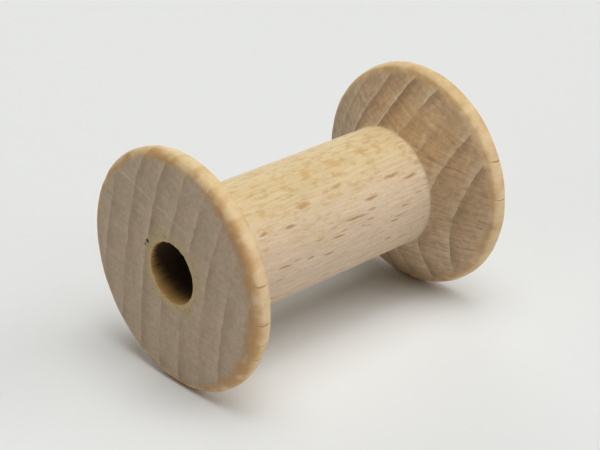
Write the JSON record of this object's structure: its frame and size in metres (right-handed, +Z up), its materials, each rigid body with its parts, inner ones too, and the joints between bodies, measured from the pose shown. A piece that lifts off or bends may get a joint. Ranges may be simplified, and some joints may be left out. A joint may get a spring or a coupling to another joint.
{
  "type": "wooden spool",
  "caption": "Turned wooden thread spool: a straight barrel between crowned flanges bevelled on the inside, with a central bore.",
  "frame": {"origin": "on the spool's axis at mid-length; both rims touch the floor plane z = -0.0175 m", "axes": "+X along the spool's axis, from one end face to the other; +Z up, with the spool lying on its rims"},
  "size_m": [0.0494, 0.035, 0.035],
  "materials": {
    "wood": "bare sanded beech, matte"
  },
  "bodies": {
    "root": {"spool": "wood"}
  },
  "joints": []
}
